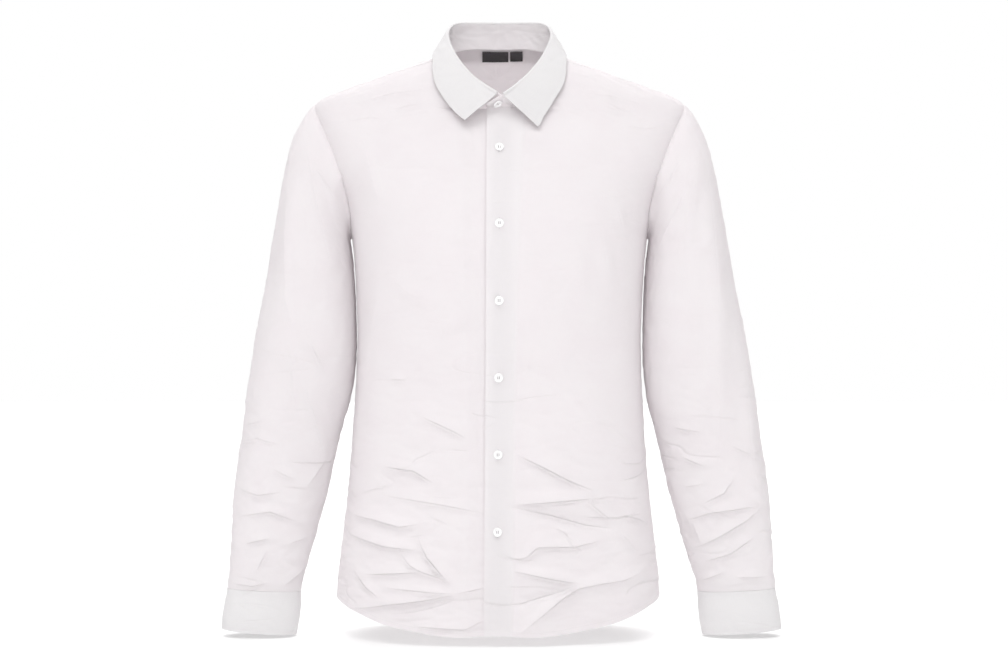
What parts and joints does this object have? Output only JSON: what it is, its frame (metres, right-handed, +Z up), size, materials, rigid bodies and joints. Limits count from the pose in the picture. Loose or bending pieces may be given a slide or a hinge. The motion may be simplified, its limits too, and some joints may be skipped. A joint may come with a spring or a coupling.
{
  "type": "crumpled button-up shirt, filled out as if worn",
  "caption": "Long-sleeved button-up shirt in crumpled pale cotton, filled out as if worn, with a fold-down collar, buttoned front, blank neck labels, buttoned cuffs and a curved shirt-tail hem.",
  "frame": {"origin": "middle of the neck opening at the height where the shirt rests on a wearer's shoulders", "axes": "+Z up, the front faces -Y, +X towards the shirt's own left sleeve"},
  "size_m": [0.6937, 0.2378, 0.7697],
  "materials": {
    "body_cloth": "crumpled cotton poplin, white with a faint pink cast",
    "trim_cloth": "fused cotton poplin, smoother and more neutral than the body",
    "button": "pearly white resin",
    "label": "blank black woven tape"
  },
  "bodies": {
    "root": {"front_left": "body_cloth", "front_right": "body_cloth", "back": "body_cloth", "yoke": "body_cloth", "sleeve_left": "body_cloth", "sleeve_right": "body_cloth", "cuff_left": "trim_cloth", "cuff_right": "trim_cloth", "collar_stand": "trim_cloth", "collar_fall": "trim_cloth", "button_1": "button", "button_2": "button", "button_3": "button", "button_4": "button", "button_5": "button", "button_6": "button", "button_collar": "button", "button_cuff_left": "button", "button_cuff_right": "button", "label_main": "label", "label_size": "label"}
  },
  "joints": []
}
